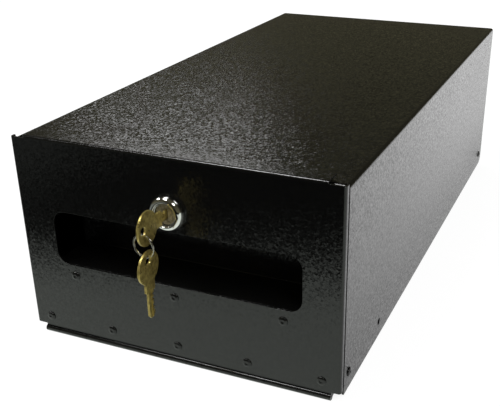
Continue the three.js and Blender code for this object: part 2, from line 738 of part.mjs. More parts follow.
// Door
const door = group(safe);
place(door, "door_panel", doorPanel(), BLACK_COAT);
place(door, "hinge_door_leaf", hingeDoorLeaf(), BLACK_STEEL);
place(door, "slot_baffle", slotBaffle(), BLACK_COAT);
const facing = [Math.PI, 0, 0];
hingeRow.forEach((x, i) => {
  const grip = SHEET + SEAM + LEAF;
  place(door, `hinge_rivet_${i + 1}`, rivet(grip), BLACK_STEEL, [x, DOOR_FACE, HINGE_ROW_HEIGHT], facing);
});
baffleRow.forEach((x, i) => {
  const grip = SHEET + SEAM + BAFFLE_SHEET;
  place(door, `baffle_rivet_${i + 1}`, rivet(grip), BLACK_STEEL, [x, DOOR_FACE, BAFFLE_ROW_HEIGHT], facing);
});

// Lock, drawn with its axis along +Y out of the door face and turned to face the front
const lock = group(door);
lock.position.set(0, DOOR_FACE, LOCK_HEIGHT);
lock.rotation.set(Math.PI, 0, 0);
place(lock, "lock_cylinder", lockCylinder(), CHROME);
place(lock, "lock_nut", lockNut(), ZINC);
place(lock, "lock_plug", lockPlug(), BRASS);
place(lock, "lock_cam", lockCam(), ZINC);
place(lock, "cam_washer", camWasher(), ZINC);
place(lock, "cam_screw", camScrew(), ZINC);

// Keys: one in the lock, and a spare that hangs from it on the ring
place(door, "key", flatKey(), BRASS, [0, RING_Y, LOCK_HEIGHT], [Math.PI / 2, 0, 0]);
place(door, "key_ring", keyRing(), ZINC, [0, RING_Y, RING_MIDDLE]);
place(door, "spare_key", flatKey(), BRASS, [SPARE_OFFSET, RING_Y, SPARE_HEIGHT]);

// The origin is under the middle of the whole object, at the hinge barrel's lowest line
const front = RING_Y - BOW_WIDTH / 2;
safe.position.set(0, -(BODY_DEPTH + front) / 2, BARREL / 2 - HINGE_Z);

export default safe;
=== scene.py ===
import bpy
import bmesh
import json
import math
from mathutils import Matrix, Vector


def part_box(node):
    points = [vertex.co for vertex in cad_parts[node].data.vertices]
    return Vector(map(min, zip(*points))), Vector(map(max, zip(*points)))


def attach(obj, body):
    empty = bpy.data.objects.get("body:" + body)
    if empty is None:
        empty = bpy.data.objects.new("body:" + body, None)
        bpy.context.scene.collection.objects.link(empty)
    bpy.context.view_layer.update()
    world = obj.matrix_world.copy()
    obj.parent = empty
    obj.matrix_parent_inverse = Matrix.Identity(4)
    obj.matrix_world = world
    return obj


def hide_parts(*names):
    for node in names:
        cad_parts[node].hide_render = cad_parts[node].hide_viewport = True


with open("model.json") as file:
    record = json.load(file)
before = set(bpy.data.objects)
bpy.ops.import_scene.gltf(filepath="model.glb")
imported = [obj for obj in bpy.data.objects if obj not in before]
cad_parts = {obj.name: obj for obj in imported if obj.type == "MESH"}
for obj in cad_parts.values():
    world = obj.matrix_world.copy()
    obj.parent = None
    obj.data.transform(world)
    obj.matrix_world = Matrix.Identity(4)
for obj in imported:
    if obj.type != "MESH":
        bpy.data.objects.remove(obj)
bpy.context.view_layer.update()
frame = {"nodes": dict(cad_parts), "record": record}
mm = 0.001  # the dictionaries give sizes in mm unless they say otherwise


def boxOf(node):
    low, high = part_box(node)
    return Vector(low), Vector(high)


def middleOf(node):
    low, high = boxOf(node)
    return (low + high) / 2


coverLow, coverHigh = boxOf("body_cover")
frontEdge = coverLow.y  # front of the box's sheets
baseLine = coverLow.z  # lower edge of the box's sides
doorFace = boxOf("door_panel")[0].y
lockMiddle = middleOf("lock_plug")
lockSpot = Vector((lockMiddle.x, doorFace, lockMiddle.z))  # lock's axis at the door face
bodyOfNode = {n: b for b, members in frame["record"]["behaviour"]["bodies"].items() for n in members}
slotOfNode = {part["node"]: part["material_slot"] for part in frame["record"]["subparts"]}
print("frame loaded, door face at", round(doorFace, 4))

# Camera, fitted to the safe's edges and rivets
cameraFit = {
    "azimuth": 23.19, "elevation": 25.53, "roll": -0.394,  # in degrees
    "right": 0.26611, "inFront": 0.43742, "above": 0.34285,  # metres from the box's front lower edge
    "focal": 820.37, "centre": (280.29, 231.43), "frame": (500, 406),  # in pixels
    "sensor": 36, "clip": (0.01, 50),  # mm, and metres
}


def addCamera(fit):
    azimuth, elevation, roll = (math.radians(fit[key]) for key in ("azimuth", "elevation", "roll"))
    level = math.cos(elevation)
    back = Vector((math.sin(azimuth) * level, -math.cos(azimuth) * level, math.sin(elevation)))
    right = Vector((math.cos(azimuth), math.sin(azimuth), 0))
    up = back.cross(right)
    wide, tall = fit["frame"]
    data = bpy.data.cameras.new("photoCamera")
    data.sensor_width = fit["sensor"]
    data.lens = fit["focal"] / wide * data.sensor_width
    data.shift_x = (wide / 2 - fit["centre"][0]) / wide
    data.shift_y = (fit["centre"][1] - tall / 2) / wide
    data.clip_start, data.clip_end = fit["clip"]
    camera = bpy.data.objects.new("photoCamera", data)
    tiltedRight = math.cos(roll) * right + math.sin(roll) * up
    tiltedUp = -math.sin(roll) * right + math.cos(roll) * up
    turn = Matrix((tiltedRight, tiltedUp, back)).transposed().to_4x4()
    spot = Vector((fit["right"], frontEdge - fit["inFront"], baseLine + fit["above"]))
    camera.matrix_world = Matrix.Translation(spot) @ turn
    bpy.context.scene.collection.objects.link(camera)
    bpy.context.scene.camera = camera


addCamera(cameraFit)

# Meshes and objects
mergeWithin = {"copy": 0.01, "turned": 0.0005, "stamped": 0.001}


def newObject(name, mesh, material=None):
    made = bpy.data.objects.new(name, mesh)
    bpy.context.scene.collection.objects.link(made)
    if material:
        mesh.materials.clear()
        mesh.materials.append(material)
    return made


def smoothBy(mesh, degrees):
    mesh.shade_smooth()
    mesh.set_sharp_from_angle(angle=math.radians(degrees))


def meshFrom(name, build):
    mesh = bpy.data.meshes.new(name)
    bm = bmesh.new()
    build(bm)
    bm.to_mesh(mesh)
    bm.free()
    return mesh


# The object's mesh with its modifiers applied, on the object itself
def settle(made):
    shape = made.evaluated_get(bpy.context.evaluated_depsgraph_get())
    plain = bpy.data.meshes.new_from_object(shape)
    made.modifiers.clear()
    made.data = plain
    return plain


# A finished piece takes the place of its CAD nodes
def standFor(made, *nodes):
    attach(made, bodyOfNode[nodes[0]])
    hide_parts(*nodes)


# Node trees
def feed(tree, value, socket):
    if isinstance(value, bpy.types.NodeSocket):
        tree.links.new(value, socket)
    else:
        socket.default_value = value


def addNode(tree, kind, settings=None, inputs=None):
    node = tree.nodes.new(kind)
    for key, value in (settings or {}).items():
        setattr(node, key, value)
    for key, value in (inputs or {}).items():
        feed(tree, value, node.inputs[key])
    return node


def calc(tree, operation, *values, clamp=False):
    settings = {"operation": operation, "use_clamp": clamp}
    return addNode(tree, "ShaderNodeMath", settings, dict(enumerate(values))).outputs[0]


def vectorCalc(tree, operation, inputs):
    return addNode(tree, "ShaderNodeVectorMath", {"operation": operation}, inputs).outputs[0]


def mapRange(tree, value, fromLow, fromHigh, toLow, toHigh, smooth=False):
    settings = {"clamp": True, "interpolation_type": "SMOOTHSTEP" if smooth else "LINEAR"}
    inputs = {"Value": value, "From Min": fromLow, "From Max": fromHigh, "To Min": toLow, "To Max": toHigh}
    return addNode(tree, "ShaderNodeMapRange", settings, inputs).outputs[0]


def blendColours(tree, share, first, second):
    node = addNode(tree, "ShaderNodeMix", {"data_type": "RGBA"}, {0: share})
    feed(tree, first if isinstance(first, bpy.types.NodeSocket) else (*first, 1), node.inputs[6])
    feed(tree, second if isinstance(second, bpy.types.NodeSocket) else (*second, 1), node.inputs[7])
    return node.outputs[2]


def newShaderGroup(name, inputs, outputs):
    tree = bpy.data.node_groups.new(name, "ShaderNodeTree")
    for label, kind, value in inputs:
        tree.interface.new_socket(label, in_out="INPUT", socket_type=kind).default_value = value
    for label, kind in outputs:
        tree.interface.new_socket(label, in_out="OUTPUT", socket_type=kind)
    return tree, tree.nodes.new("NodeGroupInput"), tree.nodes.new("NodeGroupOutput")


# Powder coat: soft pebbles with a finer grain on them, and the tops of the pebbles as a mask
grainLook = {"pebble": 1.6, "fine": 0.4, "finer": 2.7, "detail": 1.0, "tops": (0.42, 0.62)}


def makeCoatGrain(look):
    tree, start, end = newShaderGroup(
        "coatGrain",
        [
            ("Vector", "NodeSocketVector", (0, 0, 0)), ("Pebble", "NodeSocketFloat", look["pebble"]),
            ("Fine", "NodeSocketFloat", look["fine"]),
        ],
        [("Height", "NodeSocketFloat"), ("Tops", "NodeSocketFloat")],
    )
    scale = calc(tree, "DIVIDE", 1 / mm, start.outputs["Pebble"])
    inputs = {"Vector": start.outputs["Vector"], "Scale": scale, "Detail": look["detail"]}
    pebble = addNode(tree, "ShaderNodeTexNoise", None, inputs).outputs["Fac"]
    inputs["Scale"] = calc(tree, "MULTIPLY", scale, look["finer"])
    fine = addNode(tree, "ShaderNodeTexNoise", None, inputs).outputs["Fac"]
    share = calc(tree, "MULTIPLY", fine, start.outputs["Fine"])
    feed(tree, calc(tree, "ADD", pebble, share), end.inputs["Height"])
    feed(tree, mapRange(tree, pebble, *look["tops"], 0.0, 1.0), end.inputs["Tops"])
    return tree


# Slow cloudy change, for handling marks and an uneven sheen
handlingLook = {"size": 60.0, "detail": 4.0, "roughness": 0.6, "between": (0.3, 0.7)}


def makeHandling(look):
    tree, start, end = newShaderGroup(
        "handling",
        [
            ("Vector", "NodeSocketVector", (0, 0, 0)), ("Size", "NodeSocketFloat", look["size"]),
            ("Low", "NodeSocketFloat", 0.0), ("High", "NodeSocketFloat", 1.0),
        ],
        [("Value", "NodeSocketFloat")],
    )
    scale = calc(tree, "DIVIDE", 1 / mm, start.outputs["Size"])
    inputs = {
        "Vector": start.outputs["Vector"], "Scale": scale,
        "Detail": look["detail"], "Roughness": look["roughness"],
    }
    cloud = addNode(tree, "ShaderNodeTexNoise", None, inputs).outputs["Fac"]
    value = mapRange(tree, cloud, *look["between"], start.outputs["Low"], start.outputs["High"])
    feed(tree, value, end.inputs["Value"])
    return tree


# Fine scratches that run across Z
scratchLook = {"stretch": (1.0, 1.0, 12.0), "size": 2.0, "detail": 3.0, "roughness": 0.7}


def makeScratches(look):
    tree, start, end = newShaderGroup(
        "fineScratches",
        [
            ("Vector", "NodeSocketVector", (0, 0, 0)), ("Stretch", "NodeSocketVector", look["stretch"]),
            ("Size", "NodeSocketFloat", look["size"]),
        ],
        [("Height", "NodeSocketFloat")],
    )
    scale = calc(tree, "DIVIDE", 1 / mm, start.outputs["Size"])
    drawn = vectorCalc(tree, "MULTIPLY", {0: start.outputs["Vector"], 1: start.outputs["Stretch"]})
    inputs = {"Vector": drawn, "Scale": scale, "Detail": look["detail"], "Roughness": look["roughness"]}
    feed(tree, addNode(tree, "ShaderNodeTexNoise", None, inputs).outputs["Fac"], end.inputs["Height"])
    return tree


coatGrain = makeCoatGrain(grainLook)
handling = makeHandling(handlingLook)
fineScratches = makeScratches(scratchLook)


def useGroup(tree, group, **values):
    node = tree.nodes.new("ShaderNodeGroup")
    node.node_tree = group
    for key, value in values.items():
        feed(tree, value, node.inputs[key])
    return node


def newMaterial(name):
    material = bpy.data.materials.new(name)
    material.use_nodes = True
    tree = material.node_tree
    where = tree.nodes.new("ShaderNodeTexCoord").outputs["Object"]
    return material, tree, tree.nodes["Principled BSDF"], where


def addBump(tree, shader, height, depth, strength=1.0):
    inputs = {"Strength": strength, "Distance": depth, "Height": height}
    feed(tree, addNode(tree, "ShaderNodeBump", None, inputs).outputs[0], shader.inputs["Normal"])


# Textured black powder coat of the box, the door and the guard behind the slot; depths are in metres
coatLook = {
    "colour": (0.0012, 0.0012, 0.0011), "tops": (0.0022, 0.0022, 0.0020),
    "gloss": (0.12, 0.17), "matt": 0.24, "pebble": 2.2, "fine": 0.45, "depth": 0.0001, "cloud": 70.0,
    "facet": 1.3, "tilt": 0.16,
}


def makeCoat(look):
    material, tree, shader, where = newMaterial("blackPowderCoat")
    grain = useGroup(tree, coatGrain, Vector=where, Pebble=look["pebble"], Fine=look["fine"])
    low, high = look["gloss"]
    sheen = useGroup(tree, handling, Vector=where, Size=look["cloud"], Low=low, High=high)
    colour = blendColours(tree, grain.outputs["Tops"], look["colour"], look["tops"])
    feed(tree, colour, shader.inputs["Base Color"])
    # glossy pebbles with matter hollows between them
    hollow = calc(tree, "SUBTRACT", 1.0, grain.outputs["Tops"])
    matt = mapRange(tree, hollow, 0.0, 1.0, sheen.outputs[0], look["matt"])
    feed(tree, matt, shader.inputs["Roughness"])
    # each pebble's top faces a slightly different way, which makes it glint or not
    inputs = {"Vector": where, "Scale": 1 / mm / look["facet"]}
    facets = addNode(tree, "ShaderNodeTexVoronoi", None, inputs).outputs["Color"]
    lean = vectorCalc(tree, "SUBTRACT", {0: facets, 1: (0.5, 0.5, 0.5)})
    flat = addNode(tree, "ShaderNodeAttribute", {"attribute_name": "flat"}).outputs["Fac"]
    lean = vectorCalc(tree, "SCALE", {0: lean, "Scale": calc(tree, "MULTIPLY", flat, look["tilt"])})
    even = tree.nodes.new("ShaderNodeNewGeometry").outputs["Normal"]
    leant = vectorCalc(tree, "NORMALIZE", {0: vectorCalc(tree, "ADD", {0: even, 1: lean})})
    inputs = {"Distance": look["depth"], "Height": grain.outputs["Height"], "Normal": leant}
    feed(tree, addNode(tree, "ShaderNodeBump", None, inputs).outputs[0], shader.inputs["Normal"])
    return material


# Smooth black finish of the rivets and the hinge
blackSteelLook = {
    "colour": (0.0016, 0.0016, 0.0015), "rubbed": (0.006, 0.006, 0.0055), "gloss": (0.12, 0.22),
    "metallic": 0.2, "pebble": 0.8, "depth": 0.00003, "bump": 0.6, "cloud": 9.0, "rubbedCloud": 3.0,
}


def makeBlackSteel(look):
    material, tree, shader, where = newMaterial("blackSteel")
    low, high = look["gloss"]
    sheen = useGroup(tree, handling, Vector=where, Size=look["cloud"], Low=low, High=high)
    rubbed = useGroup(tree, handling, Vector=where, Size=look["rubbedCloud"], Low=0.0, High=1.0)
    colour = blendColours(tree, rubbed.outputs[0], look["colour"], look["rubbed"])
    feed(tree, colour, shader.inputs["Base Color"])
    feed(tree, sheen.outputs[0], shader.inputs["Roughness"])
    shader.inputs["Metallic"].default_value = look["metallic"]
    grain = useGroup(tree, coatGrain, Vector=where, Pebble=look["pebble"])
    addBump(tree, shader, grain.outputs["Height"], look["depth"], look["bump"])
    return material


# Bare and plated metals of the lock, the keys and the ring
metalLooks = {
    "chromePlate": {
        "colour": (0.72, 0.72, 0.71), "tint": (0.62, 0.61, 0.58), "gloss": (0.06, 0.12),
        "metallic": 1.0, "scratch": 0.0000006, "patch": 7.0,
    },
    "zincPlate": {
        "colour": (0.58, 0.58, 0.56), "tint": (0.46, 0.45, 0.41), "gloss": (0.24, 0.40),
        "metallic": 1.0, "scratch": 0.00002, "patch": 6.0,
    },
    "keyBrass": {
        "colour": (0.56, 0.45, 0.14), "tint": (0.17, 0.125, 0.03), "gloss": (0.24, 0.42),
        "metallic": 0.75, "scratch": 0.00005, "patch": 4.5,
    },
    "plugBrass": {
        "colour": (0.52, 0.45, 0.27), "tint": (0.18, 0.15, 0.09), "gloss": (0.26, 0.45),
        "metallic": 0.8, "scratch": 0.00003, "patch": 2.5,
    },
    "springSteel": {
        "colour": (0.70, 0.68, 0.62), "tint": (0.5, 0.48, 0.42), "gloss": (0.15, 0.28),
        "metallic": 1.0, "scratch": 0.00001, "patch": 3.0,
    },
}
metalWear = {"stain": 0.6, "lines": 3.0, "bump": 0.5}  # stains are a share of the patches


def makeMetal(name, look):
    material, tree, shader, where = newMaterial(name)
    low, high = look["gloss"]
    sheen = useGroup(tree, handling, Vector=where, Size=look["patch"], Low=low, High=high)
    stain = useGroup(tree, handling, Vector=where, Size=look["patch"] * metalWear["stain"], Low=0.0, High=1.0)
    colour = blendColours(tree, stain.outputs[0], look["colour"], look["tint"])
    feed(tree, colour, shader.inputs["Base Color"])
    feed(tree, sheen.outputs[0], shader.inputs["Roughness"])
    shader.inputs["Metallic"].default_value = look["metallic"]
    lines = useGroup(tree, fineScratches, Vector=where, Size=metalWear["lines"])
    addBump(tree, shader, lines.outputs[0], look["scratch"], metalWear["bump"])
    return material


blackSteel = makeBlackSteel(blackSteelLook)
metals = {name: makeMetal(name, look) for name, look in metalLooks.items()}
finishOfSlot = {
    "black_coat": makeCoat(coatLook), "black_steel": blackSteel, "chrome": metals["chromePlate"],
    "zinc": metals["zincPlate"], "brass": metals["keyBrass"],
}
for nodeName, node in frame["nodes"].items():
    node.data.materials.clear()
    node.data.materials.append(finishOfSlot[slotOfNode[nodeName]])
print("finishes made")

# Folded sheets and stamped pieces keep their CAD shape, with broken edges
brokenEdges = {
    "body_cover": 0.4, "door_panel": 0.42, "rear_panel": 0.3, "floor_pan": 0.3, "slot_baffle": 0.25,
    "lock_nut": 0.4, "lock_cam": 0.3, "cam_washer": 0.15, "cam_screw": 0.12,
}
coarseness = {"door_panel": 0.62}  # share of the coat's full tilt; the door's coat is the smoother one
edgeLook = {
    "segments": 2, "sharper": 50, "evening": 100, "flatWithin": 0.5, "square": 0.999,  # angles in degrees
}


# A merged copy of a CAD node's mesh, with its flat faces whole again
def copyOf(nodeName, meshName):
    source = frame["nodes"][nodeName]

    def build(bm):
        bm.from_mesh(source.data)
        bmesh.ops.remove_doubles(bm, verts=bm.verts, dist=mergeWithin["copy"] * mm)
        limit = math.radians(edgeLook["flatWithin"])
        bmesh.ops.dissolve_limit(bm, angle_limit=limit, verts=bm.verts, edges=bm.edges)
    return meshFrom(meshName, build)


def roundEdges(made, width, coarse=1.0):
    made.data.shade_smooth()
    bevel = made.modifiers.new("brokenEdge", "BEVEL")
    bevel.width = width * mm
    bevel.segments = edgeLook["segments"]
    bevel.limit_method = "ANGLE"
    bevel.angle_limit = math.radians(edgeLook["sharper"])
    bevel.use_clamp_overlap = True
    evened = made.modifiers.new("evenShading", "WEIGHTED_NORMAL")
    evened.mode = "FACE_AREA"
    evened.weight = edgeLook["evening"]
    evened.keep_sharp = True
    # a mask for the coat, whose pebbles lie flat on the rounded edges
    mesh = settle(made)
    flat = mesh.attributes.new("flat", "FLOAT", "FACE")
    for face in mesh.polygons:
        square = max(abs(part) for part in face.normal) > edgeLook["square"]
        flat.data[face.index].value = coarse if square else 0.0


def breakEdges(nodeName, width):
    mesh = copyOf(nodeName, nodeName + "Sheet")
    made = newObject(nodeName + "_sheet", mesh, finishOfSlot[slotOfNode[nodeName]])
    roundEdges(made, width, coarseness.get(nodeName, 1.0))
    standFor(made, nodeName)


for nodeName, width in brokenEdges.items():
    breakEdges(nodeName, width)
print("sheets and stampings made:", len(brokenEdges))


# Geometry Nodes
def newShapeTree(name, inputs):
    tree = bpy.data.node_groups.new(name, "GeometryNodeTree")
    tree.interface.new_socket("Geometry", in_out="INPUT", socket_type="NodeSocketGeometry")
    tree.interface.new_socket("Geometry", in_out="OUTPUT", socket_type="NodeSocketGeometry")
    for label, kind, value in inputs:
        socket = tree.interface.new_socket(label, in_out="INPUT", socket_type=kind)
        if value is not None:
            socket.default_value = value
    return tree, tree.nodes.new("NodeGroupInput"), tree.nodes.new("NodeGroupOutput")


def endTree(tree, shape, start, end):
    real = addNode(tree, "GeometryNodeRealizeInstances", None, {"Geometry": shape}).outputs[0]
    inputs = {"Geometry": real, "Material": start.outputs["Finish"]}
    feed(tree, addNode(tree, "GeometryNodeSetMaterial", None, inputs).outputs[0], end.inputs[0])


def joinShapes(tree, *shapes):
    node = tree.nodes.new("GeometryNodeJoinGeometry")
    for shape in shapes:
        tree.links.new(shape, node.inputs[0])
    return node.outputs[0]


def moved(tree, shape, **inputs):
    values = {"Geometry": shape}
    values.update(inputs)
    return addNode(tree, "GeometryNodeTransform", None, values).outputs[0]


def vectorOf(tree, x=0.0, y=0.0, z=0.0):
    return addNode(tree, "ShaderNodeCombineXYZ", None, {"X": x, "Y": y, "Z": z}).outputs[0]


# Runs a tree on a mesh and leaves the result as the object's plain mesh
def grow(name, base, tree, values, degrees):
    made = newObject(name, base)
    modifier = made.modifiers.new(tree.name, "NODES")
    modifier.node_group = tree
    for item in tree.interface.items_tree:
        if item.in_out == "INPUT" and item.name in values:
            modifier[item.identifier] = values[item.name]
    smoothBy(settle(made), degrees)
    return made


# Blind rivets: a domed head with the broken stem's dimple, a shank, and a bulb behind the sheets
rivetLook = {
    "head": 7.0, "height": 1.2, "cadHeight": 1.2, "shank": 3.2, "bulb": 5.0, "bulbLength": 3.2, "seam": 0.1,
    "sides": 40, "shankSides": 24, "bulbRings": 12, "merge": 0.002, "smooth": 38,
    "outline": [
        (0, 0), (0.97, 0), (1, 0.1), (0.985, 0.3), (0.93, 0.5), (0.82, 0.72), (0.66, 0.89), (0.5, 0.98),
        (0.38, 1), (0.33, 0.95), (0.3, 0.8), (0.29, 0.45), (0.2, 0.34), (0, 0.4),
    ],  # shares of the head's radius and height
}


# One coordinate of an outline as a curve over its evenly spaced points
def outlineCurve(tree, along, outline, which):
    node = addNode(tree, "ShaderNodeFloatCurve", None, {"Factor": 1.0, "Value": along})
    curve = node.mapping.curves[0]
    last = len(outline) - 1
    while len(curve.points) < len(outline):
        curve.points.new(0.5, 0.5)
    for i, point in enumerate(outline):
        curve.points[i].location = (i / last, point[which])
        curve.points[i].handle_type = "VECTOR"
    node.mapping.update()
    return node.outputs[0]


def makeRivetTree(look):
    number, whole = "NodeSocketFloat", "NodeSocketInt"
    tree, start, end = newShapeTree("blindRivets", [
        ("Head", number, 0.007), ("Height", number, 0.0012), ("Shank", number, 0.0032),
        ("Bulb", number, 0.005), ("Bulb Length", number, 0.0032), ("Grip", number, 0.003),
        ("Seam", number, 0.0001), ("Sides", whole, 40), ("Finish", "NodeSocketMaterial", None),
    ])
    size = start.outputs
    # the head is a grid wound round the axis, with a ring for each point of the outline
    around = calc(tree, "ADD", size["Sides"], 1.0)
    inputs = {"Size X": 1.0, "Size Y": 1.0, "Vertices X": around, "Vertices Y": len(look["outline"])}
    grid = addNode(tree, "GeometryNodeMeshGrid", None, inputs).outputs["Mesh"]
    place = addNode(tree, "GeometryNodeInputPosition").outputs[0]
    place = addNode(tree, "ShaderNodeSeparateXYZ", None, {0: place}).outputs
    turn = calc(tree, "MULTIPLY", calc(tree, "ADD", place["X"], 0.5), math.tau)
    along = calc(tree, "ADD", place["Y"], 0.5)
    half = calc(tree, "DIVIDE", size["Head"], 2.0)
    radius = calc(tree, "MULTIPLY", outlineCurve(tree, along, look["outline"], 0), half)
    height = calc(tree, "MULTIPLY", outlineCurve(tree, along, look["outline"], 1), size["Height"])
    spot = vectorOf(
        tree, calc(tree, "MULTIPLY", radius, calc(tree, "COSINE", turn)),
        calc(tree, "MULTIPLY", radius, calc(tree, "SINE", turn)), calc(tree, "ADD", height, size["Seam"]),
    )
    head = addNode(tree, "GeometryNodeSetPosition", None, {"Geometry": grid, "Position": spot}).outputs[0]
    inputs = {"Geometry": head, "Distance": look["merge"] * mm}
    head = addNode(tree, "GeometryNodeMergeByDistance", None, inputs).outputs[0]
    # the shank runs a little into the head and the bulb
    half = calc(tree, "DIVIDE", size["Shank"], 2.0)
    length = calc(tree, "ADD", size["Grip"], calc(tree, "MULTIPLY", size["Seam"], 4.0))
    inputs = {"Vertices": look["shankSides"], "Radius": half, "Depth": length}
    shank = addNode(tree, "GeometryNodeMeshCylinder", None, inputs).outputs["Mesh"]
    middle = calc(tree, "MULTIPLY", size["Grip"], -0.5)
    shank = moved(tree, shank, Translation=vectorOf(tree, z=middle))
    inputs = {"Segments": look["shankSides"], "Rings": look["bulbRings"], "Radius": 0.5}
    bulb = addNode(tree, "GeometryNodeMeshUVSphere", None, inputs).outputs["Mesh"]
    past = calc(tree, "ADD", calc(tree, "DIVIDE", size["Bulb Length"], 2.0), size["Seam"])
    behind = calc(tree, "ADD", size["Grip"], past)
    bulb = moved(
        tree, bulb, Translation=vectorOf(tree, z=calc(tree, "MULTIPLY", behind, -1.0)),
        Scale=vectorOf(tree, size["Bulb"], size["Bulb"], size["Bulb Length"]),
    )
    settings = {"data_type": "FLOAT_VECTOR"}
    outward = addNode(tree, "GeometryNodeInputNamedAttribute", settings, {"Name": "outward"}).outputs[0]
    facing = addNode(tree, "FunctionNodeAlignRotationToVector", {"axis": "Z"}, {"Vector": outward})
    inputs = {
        "Points": size["Geometry"], "Instance": joinShapes(tree, head, shank, bulb),
        "Rotation": facing.outputs[0],
    }
    endTree(tree, addNode(tree, "GeometryNodeInstanceOnPoints", None, inputs).outputs[0], start, end)
    return tree


rivetTree = makeRivetTree(rivetLook)
rivetRows = {
    "side_rivets": {"nodes": "side_rivet_", "axis": 0, "grip": 3.1},
    "floor_rivets": {"nodes": "floor_rivet_", "axis": 2, "grip": 2.8},
    "hinge_rivets": {"nodes": "hinge_rivet_", "axis": 1, "grip": 2.8},
    "baffle_rivets": {"nodes": "baffle_rivet_", "axis": 1, "grip": 2.8},
}


# The point on the sheet under a rivet's head, and the way that the head faces: the side
# rivets face outwards, and the others face the floor or the front
def rivetSeat(node, axis):
    low, high = boxOf(node)
    seat = (low + high) / 2
    side = math.copysign(1, seat.x) if axis == 0 else -1
    outward = Vector([side if k == axis else 0 for k in range(3)])
    crown = high[axis] if side > 0 else low[axis]
    seat[axis] = crown - side * (rivetLook["cadHeight"] + rivetLook["seam"]) * mm
    return seat, outward


def addRivets(name, row):
    nodes = sorted(node for node in frame["nodes"] if node.startswith(row["nodes"]))
    seats = [rivetSeat(node, row["axis"]) for node in nodes]
    base = bpy.data.meshes.new(name + "Places")
    base.from_pydata([seat for seat, _ in seats], [], [])
    outward = base.attributes.new("outward", "FLOAT_VECTOR", "POINT")
    for i, (_, way) in enumerate(seats):
        outward.data[i].vector = way
    look = rivetLook
    made = grow(name, base, rivetTree, {
        "Head": look["head"] * mm, "Height": look["height"] * mm, "Shank": look["shank"] * mm,
        "Bulb": look["bulb"] * mm, "Bulb Length": look["bulbLength"] * mm, "Grip": row["grip"] * mm,
        "Seam": look["seam"] * mm, "Sides": look["sides"], "Finish": blackSteel,
    }, look["smooth"])
    standFor(made, *nodes)


for rowName, rivetRow in rivetRows.items():
    addRivets(rowName, rivetRow)
print("rivets set")

# Continuous hinge: rolled knuckles along each leaf, drawn with the pin along X and the leaf towards +Z
hingeLook = {
    "knuckles": 19, "gap": 0.4, "leaf": 1.2, "barrel": 5.2, "bore": 2.8, "seam": 26.0, "room": 2.9,
    "rivets": 5, "rivetHole": 3.6, "rivetInset": 7.0, "rollSteps": 28, "holeSides": 24,
    "tabFrom": 0.9, "overlap": 0.4, "smooth": 38,
}


